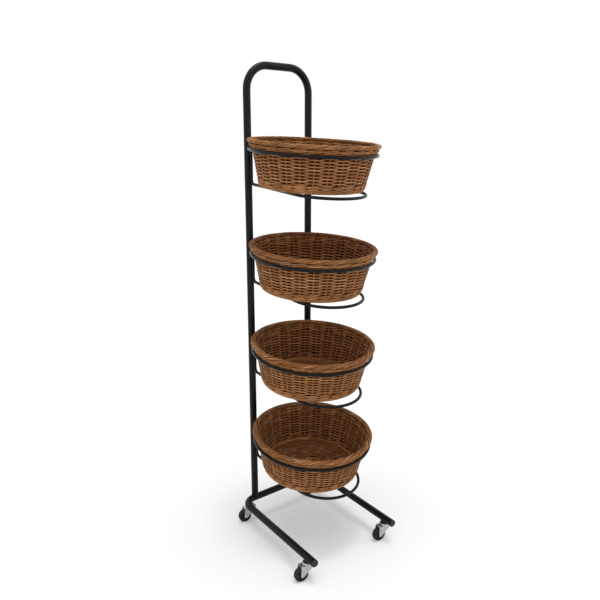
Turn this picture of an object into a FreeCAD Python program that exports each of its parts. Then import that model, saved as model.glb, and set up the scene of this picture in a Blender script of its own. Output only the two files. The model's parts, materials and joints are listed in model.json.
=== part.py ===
import FreeCAD
import Part
import math
import os

from FreeCAD import Placement, Rotation, Vector

# Tiered basket display: a bent-tube rack on casters that carries round wicker baskets in wire hoops.
# Millimetres. The origin is on the floor under the middle of the base; +Z is up and the front faces -Y.

# Tube of the rack
TUBE_RADIUS = 12.7
TUBE_WALL = 1.5

# Base: a U of tube that is open to the front
BASE_HEIGHT = 82.0
BASE_HALF_WIDTH = 178.0
BASE_CORNER_RADIUS = 45.0
BACK_Y = 218.0
LEG_LENGTH = 438.0

# Back frame: an inverted U that stands on the back bar of the base
UPRIGHT_HALF_SPACING = 127.0
TOP_BAR_HEIGHT = 1658.0
TOP_BEND_RADIUS = 80.0
COPE_TRIM = 3.0

# Plugs in the open leg ends
PLUG_LIP = 1.0
PLUG_EDGE_ROUND = 4.0
PLUG_DEPTH = 18.0
PLUG_LEAD_LENGTH = 3.0
PLUG_LEAD_TAPER = 1.0
PLUG_CLEARANCE = 0.1

# Tiers, counted from the top; each leans forward by the same angle
TIER_COUNT = 4
TIER_STEP = 335.0
LOWEST_HOOP_HEIGHT = 377.0
TIER_TILT = 5.0

# Wire of the hoops and cradles
WIRE_RADIUS = 5.0
HOOP_RADIUS = 207.0
CRADLE_HALF_WIDTH = 125.0
CRADLE_REACH = 204.0
CRADLE_BEND_RADIUS = 15.0
CRADLE_RISE_ABOVE_HOOP = 11.0
WELD_BITE = 0.4

# Basket, measured along its own axis from the plane of its hoop
BASKET_DEPTH = 115.0
BASKET_RADIUS_AT_HOOP = 198.5
BASKET_FLOOR_CORNER_RADIUS = 173.0
BASKET_THICKNESS = 9.5
BASKET_CORNER_ROUND = 12.0
BASKET_GAP_TO_CRADLE = 0.4
RIM_SEAT = 10.0
RIM_TOP = 34.0
RIM_OUTER_RADIUS = 215.5
RIM_INNER_RADIUS = 193.0
RIM_CROWN_WIDTH = 6.0

# Main relief of the weave: full bands of waling at the edges of wall and floor, a thinner web between them
# and a long swelling over every stake of the wall and every stick of the floor
WEB_THICKNESS = 5.6
BAND_SHOULDER = 2.0
FOOT_BAND_HEIGHT = 24.5
FOOT_GROOVE_HEIGHT = 16.5
FOOT_GROOVE_DEPTH = 1.4
HEAD_BAND_BOTTOM = 2.0
WALL_STAKE_COUNT = 27
WALL_STAKE_HALF_WIDTH = 9.0
FLOOR_STICK_COUNT = 18
FLOOR_STICK_HALF_WIDTH = 5.5
FLOOR_CENTRE_RADIUS = 40.0
FLOOR_BAND_WIDTH = 13.0
STAKE_HALF_DEPTH = 4.55
STAKE_SEAT = 5.0

# Casters: a stem under the leg, a swivelling fork and a wheel that trails behind the stem
CASTER_HEADING = -6.0
CASTER_TRAIL = 22.0
FRONT_STEM_INSET = 42.0
BACK_STEM_ARC_ANGLE = 62.0
SOCKET_RADIUS = 11.0
SOCKET_BORE_RADIUS = 5.1
SOCKET_BOTTOM = 64.0
STEM_RADIUS = 5.0
STEM_TOP = 79.0
KING_PIN_RADIUS = 4.0
KING_PIN_HEAD_RADIUS = 7.0
KING_PIN_HEAD_BOTTOM = 53.2
RUNNING_CLEARANCE = 0.05
RACE_GAP = 0.4
RACE_CAP_RADIUS = 16.0
RACE_CAP_CAVITY_RADIUS = 13.6
RACE_CAP_PLATE = 2.0
LOWER_RACE_INNER_RADIUS = 7.0
LOWER_RACE_OUTER_RADIUS = 12.8
FORK_CROWN_TOP = 58.6
FORK_SHEET = 2.4
FORK_HALF_WIDTH = 13.0
FORK_CHEEK = 2.0
FORK_BEND_RADIUS = 4.5
FORK_NOSE = 22.0
FORK_NOSE_ROUND = 9.0
FORK_NOSE_DROP = 8.0
FORK_TAIL = 27.0
FORK_AXLE_EYE_RADIUS = 7.5
AXLE_RADIUS = 3.0
AXLE_HEAD_RADIUS = 5.2
AXLE_HEAD_HEIGHT = 2.2
AXLE_HEAD_ROUND = 1.6
AXLE_HOLE_CLEARANCE = 0.02

# Wheel
WHEEL_RADIUS = 25.0
WHEEL_HALF_WIDTH = 9.5
TYRE_SHOULDER = 4.5
TYRE_SEAT_RADIUS = 17.0
TYRE_SEAT_HALF_WIDTH = 8.0
TYRE_SIDE_LAND = 1.8
TYRE_SIDE_STEP = 0.6
CORE_WEB_HALF_WIDTH = 4.0
CORE_RIM_INNER_RADIUS = 14.5
CORE_HUB_RADIUS = 7.0
CORE_HUB_HALF_WIDTH = 10.5
CORE_DRAFT = 1.0
CORE_RIB_COUNT = 6
CORE_RIB_THICKNESS = 1.6
CORE_RIB_HALF_WIDTH = 7.0

X_AXIS = Vector(1, 0, 0)
Y_AXIS = Vector(0, 1, 0)
Z_AXIS = Vector(0, 0, 1)
ORIGIN = Vector(0, 0, 0)
QUARTER_TURN = 90.0
FULL_TURN = 360.0
TOLERANCE = 1e-6


def rounded_edges(points, radius):
    """Straight runs through the points, joined by tangent arcs of one radius."""
    edges = []
    start = points[0]
    for before, corner, after in zip(points, points[1:], points[2:]):
        arriving = (corner - before).normalize()
        leaving = (after - corner).normalize()
        turn = arriving.getAngle(leaving)
        cut = radius * math.tan(turn / 2)
        arc_start = corner - arriving * cut
        arc_end = corner + leaving * cut
        inward = (leaving - arriving).normalize()
        arc_middle = corner + inward * (radius / math.cos(turn / 2) - radius)
        edges.append(Part.LineSegment(start, arc_start).toShape())
        edges.append(Part.Arc(arc_start, arc_middle, arc_end).toShape())
        start = arc_end
    edges.append(Part.LineSegment(start, points[-1]).toShape())
    return edges


def round_bar(edges, radius):
    """Solid round bar along a chain of edges."""
    path = Part.Wire(edges)
    first = edges[0]
    start = first.valueAt(first.FirstParameter)
    direction = first.tangentAt(first.FirstParameter)
    section = Part.Wire([Part.makeCircle(radius, start, direction)])
    return path.makePipeShell([section], True, False)


def revolve_about_z(edges):
    """Solid of revolution about Z from a closed profile in the XZ plane."""
    face = Part.Face(Part.Wire(edges))
    return face.revolve(ORIGIN, Z_AXIS, FULL_TURN)


def outline(points):
    """Edges of a closed polygon through (radius, height) pairs in the XZ plane."""
    corners = [Vector(r, 0, z) for r, z in points]
    return list(Part.makePolygon(corners + [corners[0]]).Edges)


def line(a, b):
    return Part.LineSegment(Vector(a[0], 0, a[1]), Vector(b[0], 0, b[1])).toShape()


def arc(a, middle, b):
    ends = [Vector(p[0], 0, p[1]) for p in (a, middle, b)]
    return Part.Arc(*ends).toShape()


def shoulder(radius, height, rounding):
    """Quarter-round edge of a turned solid; a negative height rounds its lower edge."""
    side = math.copysign(1, height)
    corner_cut = rounding * (1 - math.sqrt(0.5))
    return arc(
        (radius, height - side * rounding),
        (radius - corner_cut, height - side * corner_cut),
        (radius - rounding, height),
    )


def base_path():
    """Centre line of the base: left leg, back bar and right leg."""
    tip_y = BACK_Y - LEG_LENGTH
    corners = [
        Vector(-BASE_HALF_WIDTH, tip_y, BASE_HEIGHT),
        Vector(-BASE_HALF_WIDTH, BACK_Y, BASE_HEIGHT),
        Vector(BASE_HALF_WIDTH, BACK_Y, BASE_HEIGHT),
        Vector(BASE_HALF_WIDTH, tip_y, BASE_HEIGHT),
    ]
    return rounded_edges(corners, BASE_CORNER_RADIUS)


def frame_path():
    """Centre line of the back frame, from the foot of one upright over the top bar to the other."""
    foot = BASE_HEIGHT + COPE_TRIM
    corners = [
        Vector(-UPRIGHT_HALF_SPACING, BACK_Y, foot),
        Vector(-UPRIGHT_HALF_SPACING, BACK_Y, TOP_BAR_HEIGHT),
        Vector(UPRIGHT_HALF_SPACING, BACK_Y, TOP_BAR_HEIGHT),
        Vector(UPRIGHT_HALF_SPACING, BACK_Y, foot),
    ]
    return rounded_edges(corners, TOP_BEND_RADIUS)


def caster_places():
    """Stem axis of each caster: the front pair under the legs, the back pair under the corner bends."""
    front_y = BACK_Y - LEG_LENGTH + FRONT_STEM_INSET
    swing = math.radians(BACK_STEM_ARC_ANGLE)
    back_x = BASE_HALF_WIDTH - BASE_CORNER_RADIUS * (1 - math.cos(swing))
    back_y = BACK_Y - BASE_CORNER_RADIUS * (1 - math.sin(swing))
    return {
        "front_left": Vector(-BASE_HALF_WIDTH, front_y, 0),
        "front_right": Vector(BASE_HALF_WIDTH, front_y, 0),
        "back_left": Vector(-back_x, back_y, 0),
        "back_right": Vector(back_x, back_y, 0),
    }


def make_base(outer, stems):
    """Base tube, drilled from below for the caster stems."""
    tube = outer.cut(round_bar(base_path(), TUBE_RADIUS - TUBE_WALL))
    for place in stems.values():
        foot = place + Z_AXIS * SOCKET_BOTTOM
        drill = Part.makeCylinder(SOCKET_BORE_RADIUS, BASE_HEIGHT - SOCKET_BOTTOM, foot)
        tube = tube.cut(drill)
    return tube


def make_back_frame(base_outer):
    """Inverted U of tube with its feet coped to the back bar."""
    outer = round_bar(frame_path(), TUBE_RADIUS)
    bore = round_bar(frame_path(), TUBE_RADIUS - TUBE_WALL)
    return outer.cut(bore).cut(base_outer)


def make_leg_plug(side):
    """End plug: a round-edged head outside and an insert with a tapered lead inside the tube."""
    insert = TUBE_RADIUS - TUBE_WALL - PLUG_CLEARANCE
    nose = insert - PLUG_LEAD_TAPER
    lead_end = PLUG_LEAD_LENGTH - PLUG_DEPTH
    head = PLUG_LIP + PLUG_EDGE_ROUND
    crown = TUBE_RADIUS - PLUG_EDGE_ROUND
    profile = [
        line((0, -PLUG_DEPTH), (nose, -PLUG_DEPTH)),
        line((nose, -PLUG_DEPTH), (insert, lead_end)),
        line((insert, lead_end), (insert, 0)),
        line((insert, 0), (TUBE_RADIUS, 0)),
        line((TUBE_RADIUS, 0), (TUBE_RADIUS, PLUG_LIP)),
        shoulder(TUBE_RADIUS, head, PLUG_EDGE_ROUND),
        line((crown, head), (0, head)),
        line((0, head), (0, -PLUG_DEPTH)),
    ]
    plug = revolve_about_z(profile)
    tip = Vector(side * BASE_HALF_WIDTH, BACK_Y - LEG_LENGTH, BASE_HEIGHT)
    plug.Placement = Placement(tip, Rotation(X_AXIS, QUARTER_TURN))
    return plug


def make_socket(place, base_outer):
    """Short bush under the base tube, saddled to it and bored for the caster stem."""
    foot = place + Z_AXIS * SOCKET_BOTTOM
    height = BASE_HEIGHT - SOCKET_BOTTOM
    bush = Part.makeCylinder(SOCKET_RADIUS, height, foot)
    bore = Part.makeCylinder(SOCKET_BORE_RADIUS, height, foot)
    return bush.cut(bore).cut(base_outer)


def upright_wire_y():
    """Y of the cradle's upright wire ends, which lie against the front of the uprights."""
    reach = TUBE_RADIUS + WIRE_RADIUS - WELD_BITE
    aside = UPRIGHT_HALF_SPACING - CRADLE_HALF_WIDTH
    return BACK_Y - math.sqrt(reach ** 2 - aside ** 2)


def hoop_y():
    """Y of the hoop centre: the hoop lies against the upright wire ends of its cradle."""
    reach = HOOP_RADIUS + 2 * WIRE_RADIUS - WELD_BITE
    along = math.sqrt(reach ** 2 - CRADLE_HALF_WIDTH ** 2)
    return upright_wire_y() - along * math.cos(math.radians(TIER_TILT))


def tier_placement(tier):
    """Frame of a tier: origin at the hoop centre, Z along the basket's axis."""
    height = LOWEST_HOOP_HEIGHT + TIER_STEP * (TIER_COUNT - tier)
    return Placement(Vector(0, hoop_y(), height), Rotation(X_AXIS, TIER_TILT))


def make_cradle(tier, frame):
    """U of wire under the basket floor; its ends turn up and lie against the uprights."""
    place = tier_placement(tier)
    level = -BASKET_DEPTH - BASKET_GAP_TO_CRADLE - WIRE_RADIUS
    half = CRADLE_HALF_WIDTH
    bend_y = half - CRADLE_REACH
    left = place.multVec(Vector(-half, bend_y, level))
    front = place.multVec(Vector(0, -CRADLE_REACH, level))
    right = place.multVec(Vector(half, bend_y, level))
    back_y = upright_wire_y()
    slope = math.tan(math.radians(TIER_TILT))
    back_z = left.z + (back_y - left.y) * slope
    hoop_z = place.Base.z + (back_y - place.Base.y) * slope
    top_z = hoop_z + CRADLE_RISE_ABOVE_HOOP
    left_side = [Vector(-half, back_y, top_z), Vector(-half, back_y, back_z), left]
    right_side = [right, Vector(half, back_y, back_z), Vector(half, back_y, top_z)]
    edges = rounded_edges(left_side, CRADLE_BEND_RADIUS)
    edges.append(Part.Arc(left, front, right).toShape())
    edges += rounded_edges(right_side, CRADLE_BEND_RADIUS)
    return round_bar(edges, WIRE_RADIUS).cut(frame)


def make_hoop(tier, cradle):
    """Closed wire ring round the basket, notched where it is welded to the cradle's ends."""
    ring = Part.makeTorus(HOOP_RADIUS, WIRE_RADIUS)
    ring.Placement = tier_placement(tier)
    return ring.cut(cradle)


def wall_slope():
    """Radius gained per millimetre of height by the basket's wall."""
    return (BASKET_RADIUS_AT_HOOP - BASKET_FLOOR_CORNER_RADIUS) / BASKET_DEPTH


def floor_radius():
    """Radius where the flat floor ends and the rounded corner of the wall begins."""
    turn = math.pi / 2 - math.atan(wall_slope())
    return BASKET_FLOOR_CORNER_RADIUS - BASKET_CORNER_ROUND * math.tan(turn / 2)


def swelling(start, end, half_width, outward):
    """Bar of oval section between two points in the XZ plane, as thick as a stake with the rods round it."""
    oval = Part.Ellipse(start + Y_AXIS * half_width, start + outward * STAKE_HALF_DEPTH, start)
    return Part.Face(Part.Wire([oval.toShape()])).extrude(end - start)


def ring_of(solid, count):
    """Copies of a solid, evenly spaced about Z and half a step off the X axis."""
    step = FULL_TURN / count
    ring = []
    for number in range(count):
        turned = solid.copy()
        turned.rotate(ORIGIN, Z_AXIS, step * (number + 0.5))
        ring.append(turned)
    return ring


def make_basket_wall():
    """Flared wall with a rounded lower corner, open at the top, that swells over its stakes."""
    lean = math.atan(wall_slope())
    centre_r = floor_radius()
    centre_z = BASKET_CORNER_ROUND - BASKET_DEPTH
    inner_round = BASKET_CORNER_ROUND - BASKET_THICKNESS

    def corner_point(radius, angle):
        return (centre_r + radius * math.sin(angle), centre_z - radius * math.cos(angle))

    def side_point(height, depth):
        """Point of the wall, by its depth outwards from the middle of its thickness."""
        middle = BASKET_RADIUS_AT_HOOP + wall_slope() * height - BASKET_THICKNESS / 2 / math.cos(lean)
        return (middle + depth / math.cos(lean), height)

    def side_line(full, web):
        """Points up one side: foot band with the groove between its two rounds, web and head band."""
        return [
            side_point(groove - BAND_SHOULDER, full),
            side_point(groove, full - math.copysign(FOOT_GROOVE_DEPTH, full)),
            side_point(groove + BAND_SHOULDER, full),
            side_point(foot_band, full),
            side_point(foot_band + BAND_SHOULDER, web),
            side_point(HEAD_BAND_BOTTOM - BAND_SHOULDER, web),
            side_point(HEAD_BAND_BOTTOM, full),
            side_point(RIM_SEAT, full),
        ]

    groove = FOOT_GROOVE_HEIGHT - BASKET_DEPTH
    foot_band = FOOT_BAND_HEIGHT - BASKET_DEPTH
    end_angle = math.pi / 2 - lean
    outer = [corner_point(BASKET_CORNER_ROUND, a) for a in (0, end_angle / 2, end_angle)]
    inner = [corner_point(inner_round, a) for a in (0, end_angle / 2, end_angle)]
    outside = side_line(BASKET_THICKNESS / 2, WEB_THICKNESS / 2)
    inside = side_line(-BASKET_THICKNESS / 2, -WEB_THICKNESS / 2)
    path = [outer[2]] + outside + inside[::-1] + [inner[2]]
    profile = [arc(*outer)]
    profile += [line(a, b) for a, b in zip(path, path[1:])]
    profile += [arc(inner[2], inner[1], inner[0]), line(inner[0], outer[0])]
    foot_r, foot_z = side_point(foot_band - STAKE_SEAT, 0)
    head_r, head_z = side_point(HEAD_BAND_BOTTOM + STAKE_SEAT, 0)
    outward = Vector(math.cos(lean), 0, -math.sin(lean))
    stake = swelling(Vector(foot_r, 0, foot_z), Vector(head_r, 0, head_z), WALL_STAKE_HALF_WIDTH, outward)
    return revolve_about_z(profile).multiFuse(ring_of(stake, WALL_STAKE_COUNT))


def make_basket_floor():
    """Round floor that the wall grows out of: bound centre, outer band and a fan of sticks between them."""
    edge = floor_radius()
    band = edge - FLOOR_BAND_WIDTH
    bottom = -BASKET_DEPTH
    top = bottom + BASKET_THICKNESS
    middle = (bottom + top) / 2
    upper_half = [
        (FLOOR_CENTRE_RADIUS, BASKET_THICKNESS / 2),
        (FLOOR_CENTRE_RADIUS + BAND_SHOULDER, WEB_THICKNESS / 2),
        (band - BAND_SHOULDER, WEB_THICKNESS / 2),
        (band, BASKET_THICKNESS / 2),
        (edge, BASKET_THICKNESS / 2),
    ]
    upper = [(r, middle + h) for r, h in upper_half]
    lower = [(r, middle - h) for r, h in upper_half]
    disc = revolve_about_z(outline([(0, bottom)] + lower + upper[::-1] + [(0, top)]))
    inner_end = Vector(FLOOR_CENTRE_RADIUS - STAKE_SEAT, 0, middle)
    outer_end = Vector(band + STAKE_SEAT, 0, middle)
    stick = swelling(inner_end, outer_end, FLOOR_STICK_HALF_WIDTH, Z_AXIS)
    return disc.multiFuse(ring_of(stick, FLOOR_STICK_COUNT))


def make_basket_rim():
    """Thick rounded border that caps the wall and stands proud of it on both sides."""
    wall_outer = BASKET_RADIUS_AT_HOOP + wall_slope() * RIM_SEAT
    wall_inner = wall_outer - BASKET_THICKNESS / math.cos(math.atan(wall_slope()))
    middle_z = (RIM_SEAT + RIM_TOP) / 2
    middle_r = (RIM_OUTER_RADIUS + RIM_INNER_RADIUS) / 2
    crown_outer = (middle_r + RIM_CROWN_WIDTH / 2, RIM_TOP)
    crown_inner = (middle_r - RIM_CROWN_WIDTH / 2, RIM_TOP)
    seat_outer = (wall_outer, RIM_SEAT)
    seat_inner = (wall_inner, RIM_SEAT)
    return revolve_about_z([
        line(seat_inner, seat_outer),
        arc(seat_outer, (RIM_OUTER_RADIUS, middle_z), crown_outer),
        line(crown_outer, crown_inner),
        arc(crown_inner, (RIM_INNER_RADIUS, middle_z), seat_inner),
    ])


def make_caster_stem():
    """Stem, race cap and king pin, turned about one axis and fixed to the rack."""
    cavity_top = SOCKET_BOTTOM - RACE_CAP_PLATE
    skirt = FORK_CROWN_TOP + RACE_GAP
    head_top = FORK_CROWN_TOP - FORK_SHEET - RACE_GAP
    return revolve_about_z(outline([
        (0, KING_PIN_HEAD_BOTTOM),
        (KING_PIN_HEAD_RADIUS, KING_PIN_HEAD_BOTTOM),
        (KING_PIN_HEAD_RADIUS, head_top),
        (KING_PIN_RADIUS, head_top),
        (KING_PIN_RADIUS, cavity_top),
        (RACE_CAP_CAVITY_RADIUS, cavity_top),
        (RACE_CAP_CAVITY_RADIUS, skirt),
        (RACE_CAP_RADIUS, skirt),
        (RACE_CAP_RADIUS, cavity_top),
        (RACE_CAP_RADIUS - RACE_CAP_PLATE, SOCKET_BOTTOM),
        (STEM_RADIUS, SOCKET_BOTTOM),
        (STEM_RADIUS, STEM_TOP),
        (0, STEM_TOP),
    ]))


def fork_channel():
    """Folded sheet of the fork: a crown and two cheeks, with rounded bends, along X."""
    half = FORK_HALF_WIDTH
    inner = half - FORK_CHEEK
    under = FORK_CROWN_TOP - FORK_SHEET
    length = FORK_TAIL + FORK_AXLE_EYE_RADIUS + FORK_NOSE
    start = -FORK_TAIL - FORK_AXLE_EYE_RADIUS
    outer_box = Part.makeBox(length, 2 * half, FORK_CROWN_TOP, Vector(start, -half, 0))
    inner_box = Part.makeBox(length, 2 * inner, under, Vector(start, -inner, 0))
    outer_bends = [e for e in outer_box.Edges if is_top_edge_along_x(e, FORK_CROWN_TOP)]
    inner_bends = [e for e in inner_box.Edges if is_top_edge_along_x(e, under)]
    outer_form = outer_box.makeFillet(FORK_BEND_RADIUS, outer_bends)
    inner_form = inner_box.makeFillet(FORK_BEND_RADIUS - FORK_CHEEK, inner_bends)
    return outer_form.cut(inner_form)


def is_top_edge_along_x(edge, height):
    a, b = (vertex.Point for vertex in edge.Vertexes)
    is_at_top = abs(a.z - height) < TOLERANCE and abs(b.z - height) < TOLERANCE
    return is_at_top and abs(a.y - b.y) < TOLERANCE


def fork_side_form():
    """Side view of the fork: from the crown the cheeks narrow to a round eye at the axle."""
    eye_x = -CASTER_TRAIL
    eye_z = WHEEL_RADIUS
    nose_low = FORK_CROWN_TOP - FORK_NOSE_DROP
    tail_point = Vector(-FORK_TAIL, 0, FORK_CROWN_TOP)
    nose_point = Vector(FORK_NOSE, 0, nose_low)
    eye = Vector(eye_x, 0, eye_z)
    tail_touch = eye_touch_point(eye, tail_point, -1)
    nose_touch = eye_touch_point(eye, nose_point, 1)
    bottom = eye + ((tail_touch + nose_touch) * 0.5 - eye).normalize() * FORK_AXLE_EYE_RADIUS
    edges = [
        Part.LineSegment(Vector(FORK_NOSE, 0, FORK_CROWN_TOP), tail_point).toShape(),
        Part.LineSegment(tail_point, tail_touch).toShape(),
        Part.Arc(tail_touch, bottom, nose_touch).toShape(),
        Part.LineSegment(nose_touch, nose_point).toShape(),
        Part.LineSegment(nose_point, Vector(FORK_NOSE, 0, FORK_CROWN_TOP)).toShape(),
    ]
    face = Part.Face(Part.Wire(edges))
    face.translate(Y_AXIS * -FORK_HALF_WIDTH)
    return face.extrude(Y_AXIS * 2 * FORK_HALF_WIDTH)


def eye_touch_point(eye, point, side):
    """Where the tangent from a point meets the axle eye; side picks one of the two tangents."""
    away = point - eye
    distance = away.Length
    swing = math.acos(FORK_AXLE_EYE_RADIUS / distance)
    heading = math.atan2(away.z, away.x) - side * swing
    return eye + Vector(math.cos(heading), 0, math.sin(heading)) * FORK_AXLE_EYE_RADIUS


def fork_plan_form():
    """Plan view of the fork: straight sides and a rounded nose."""
    tail = -FORK_TAIL - FORK_AXLE_EYE_RADIUS
    length = FORK_NOSE - tail
    block = Part.makeBox(length, 2 * FORK_HALF_WIDTH, FORK_CROWN_TOP, Vector(tail, -FORK_HALF_WIDTH, 0))
    nose_edges = [e for e in block.Edges if all(abs(v.X - FORK_NOSE) < TOLERANCE for v in e.Vertexes)]
    upright_edges = [e for e in nose_edges if abs(e.Vertexes[0].Z - e.Vertexes[1].Z) > TOLERANCE]
    return block.makeFillet(FORK_NOSE_ROUND, upright_edges)


def make_caster_fork():
    """Pressed fork with its lower race, pierced for the king pin and the axle."""
    fork = fork_channel().common(fork_side_form()).common(fork_plan_form())
    race_height = SOCKET_BOTTOM - RACE_CAP_PLATE - RACE_GAP - FORK_CROWN_TOP
    seat = Vector(0, 0, FORK_CROWN_TOP)
    race = Part.makeCylinder(LOWER_RACE_OUTER_RADIUS, race_height, seat)
    race = race.cut(Part.makeCylinder(LOWER_RACE_INNER_RADIUS, race_height, seat))
    pin_hole = Part.makeCylinder(KING_PIN_RADIUS + RUNNING_CLEARANCE, FORK_CROWN_TOP)
    axle_hole = axle_cylinder(AXLE_RADIUS + AXLE_HOLE_CLEARANCE, FORK_HALF_WIDTH)
    return fork.fuse(race).removeSplitter().cut(pin_hole).cut(axle_hole)


def axle_cylinder(radius, half_length):
    """Cylinder along the wheel's axle."""
    start = Vector(-CASTER_TRAIL, -half_length, WHEEL_RADIUS)
    return Part.makeCylinder(radius, 2 * half_length, start, Y_AXIS)


def on_axle(solid):
    """Moves a solid turned about Z so that its axis lies on the wheel's axle."""
    solid.Placement = Placement(Vector(-CASTER_TRAIL, 0, WHEEL_RADIUS), Rotation(X_AXIS, QUARTER_TURN))
    return solid


def make_caster_axle():
    """Riveted axle with a low rounded head outside each cheek."""
    seat = FORK_HALF_WIDTH
    crown = seat + AXLE_HEAD_HEIGHT
    edge = crown - AXLE_HEAD_ROUND
    flat = AXLE_HEAD_RADIUS - AXLE_HEAD_ROUND
    profile = [
        line((0, crown), (flat, crown)),
        shoulder(AXLE_HEAD_RADIUS, crown, AXLE_HEAD_ROUND),
        line((AXLE_HEAD_RADIUS, edge), (AXLE_HEAD_RADIUS, seat)),
        line((AXLE_HEAD_RADIUS, seat), (AXLE_RADIUS, seat)),
        line((AXLE_RADIUS, seat), (AXLE_RADIUS, -seat)),
        line((AXLE_RADIUS, -seat), (AXLE_HEAD_RADIUS, -seat)),
        line((AXLE_HEAD_RADIUS, -seat), (AXLE_HEAD_RADIUS, -edge)),
        shoulder(AXLE_HEAD_RADIUS, -crown, AXLE_HEAD_ROUND),
        line((flat, -crown), (0, -crown)),
        line((0, -crown), (0, crown)),
    ]
    return on_axle(revolve_about_z(profile))


def make_wheel_core():
    """Moulded core: hub, thin web, rim and radial ribs, bored for the axle."""
    bore = AXLE_RADIUS + RUNNING_CLEARANCE
    upper = [
        (bore, CORE_HUB_HALF_WIDTH),
        (CORE_HUB_RADIUS - CORE_DRAFT, CORE_HUB_HALF_WIDTH),
        (CORE_HUB_RADIUS, CORE_WEB_HALF_WIDTH),
        (CORE_RIM_INNER_RADIUS, CORE_WEB_HALF_WIDTH),
        (CORE_RIM_INNER_RADIUS + CORE_DRAFT, TYRE_SEAT_HALF_WIDTH),
        (TYRE_SEAT_RADIUS, TYRE_SEAT_HALF_WIDTH),
    ]
    lower = [(r, -z) for r, z in reversed(upper)]
    core = revolve_about_z(outline(upper + lower))
    start = Vector(CORE_HUB_RADIUS - CORE_DRAFT, -CORE_RIB_THICKNESS / 2, -CORE_RIB_HALF_WIDTH)
    reach = CORE_RIM_INNER_RADIUS + CORE_DRAFT - start.x
    rib = Part.makeBox(reach, CORE_RIB_THICKNESS, 2 * CORE_RIB_HALF_WIDTH, start)
    for number in range(CORE_RIB_COUNT):
        turn = Rotation(Z_AXIS, FULL_TURN * number / CORE_RIB_COUNT)
        core = core.fuse(placed(rib, Placement(ORIGIN, turn)))
    return on_axle(core.removeSplitter())


def make_tyre():
    """Rubber tyre with rounded shoulders and a raised land on each side, moulded on to the core."""
    side_radius = WHEEL_RADIUS - TYRE_SHOULDER
    land_radius = side_radius - TYRE_SIDE_LAND
    step_radius = land_radius - TYRE_SIDE_STEP
    tread_half = WHEEL_HALF_WIDTH - TYRE_SHOULDER
    return on_axle(revolve_about_z([
        line((TYRE_SEAT_RADIUS, TYRE_SEAT_HALF_WIDTH), (step_radius, TYRE_SEAT_HALF_WIDTH)),
        line((step_radius, TYRE_SEAT_HALF_WIDTH), (land_radius, WHEEL_HALF_WIDTH)),
        line((land_radius, WHEEL_HALF_WIDTH), (side_radius, WHEEL_HALF_WIDTH)),
        shoulder(WHEEL_RADIUS, WHEEL_HALF_WIDTH, TYRE_SHOULDER),
        line((WHEEL_RADIUS, tread_half), (WHEEL_RADIUS, -tread_half)),
        shoulder(WHEEL_RADIUS, -WHEEL_HALF_WIDTH, TYRE_SHOULDER),
        line((side_radius, -WHEEL_HALF_WIDTH), (land_radius, -WHEEL_HALF_WIDTH)),
        line((land_radius, -WHEEL_HALF_WIDTH), (step_radius, -TYRE_SEAT_HALF_WIDTH)),
        line((step_radius, -TYRE_SEAT_HALF_WIDTH), (TYRE_SEAT_RADIUS, -TYRE_SEAT_HALF_WIDTH)),
        line((TYRE_SEAT_RADIUS, -TYRE_SEAT_HALF_WIDTH), (TYRE_SEAT_RADIUS, TYRE_SEAT_HALF_WIDTH)),
    ]))


def placed(solid, placement):
    """Copy of a solid moved by a placement."""
    copy = solid.copy()
    copy.Placement = placement.multiply(solid.Placement)
    return copy


def build():
    """All pieces of the display by node name."""
    pieces = {}
    stems = caster_places()
    base_outer = round_bar(base_path(), TUBE_RADIUS)
    frame = make_back_frame(base_outer)
    pieces["back_frame"] = frame
    pieces["base_tube"] = make_base(base_outer, stems)
    pieces["leg_plug_left"] = make_leg_plug(-1)
    pieces["leg_plug_right"] = make_leg_plug(1)

    frame_outer = round_bar(frame_path(), TUBE_RADIUS)
    wall, floor, rim = make_basket_wall(), make_basket_floor(), make_basket_rim()
    for tier in range(1, TIER_COUNT + 1):
        cradle = make_cradle(tier, frame_outer)
        pieces[f"basket_cradle_tier_{tier}"] = cradle
        pieces[f"basket_hoop_tier_{tier}"] = make_hoop(tier, cradle)
        place = tier_placement(tier)
        pieces[f"basket_wall_tier_{tier}"] = placed(wall, place)
        pieces[f"basket_floor_tier_{tier}"] = placed(floor, place)
        pieces[f"basket_rim_tier_{tier}"] = placed(rim, place)

    caster = {
        "caster_stem": make_caster_stem(),
        "caster_fork": make_caster_fork(),
        "caster_axle": make_caster_axle(),
        "wheel_core": make_wheel_core(),
        "wheel_tyre": make_tyre(),
    }
    for corner, stem in stems.items():
        pieces[f"caster_socket_{corner}"] = make_socket(stem, base_outer)
        turned = Placement(stem, Rotation(Z_AXIS, CASTER_HEADING))
        for name, solid in caster.items():
            pieces[f"{name}_{corner}"] = placed(solid, turned)
    return pieces


def main():
    os.makedirs("parts", exist_ok=True)
    for name, solid in build().items():
        if not solid.isValid() or len(solid.Solids) != 1:
            raise ValueError(f"{name}: {len(solid.Solids)} solids, valid {solid.isValid()}")
        solid.Solids[0].exportStep(f"parts/{name}.step")
        box = solid.BoundBox
        print(f"{name}: {solid.Volume / 1000:.1f} cm3, z {box.ZMin:.1f} to {box.ZMax:.1f}")
    print(f"hoop centre y {hoop_y():.2f}, upright wire y {upright_wire_y():.2f}")
    print(f"flat floor radius {floor_radius():.2f}")


main()
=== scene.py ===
import json
import math

import bpy
import numpy as np
from bpy.props import FloatProperty, FloatVectorProperty, IntProperty, PointerProperty
from bpy.types import Operator, Panel, PropertyGroup
from mathutils import Matrix, Vector

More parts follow.
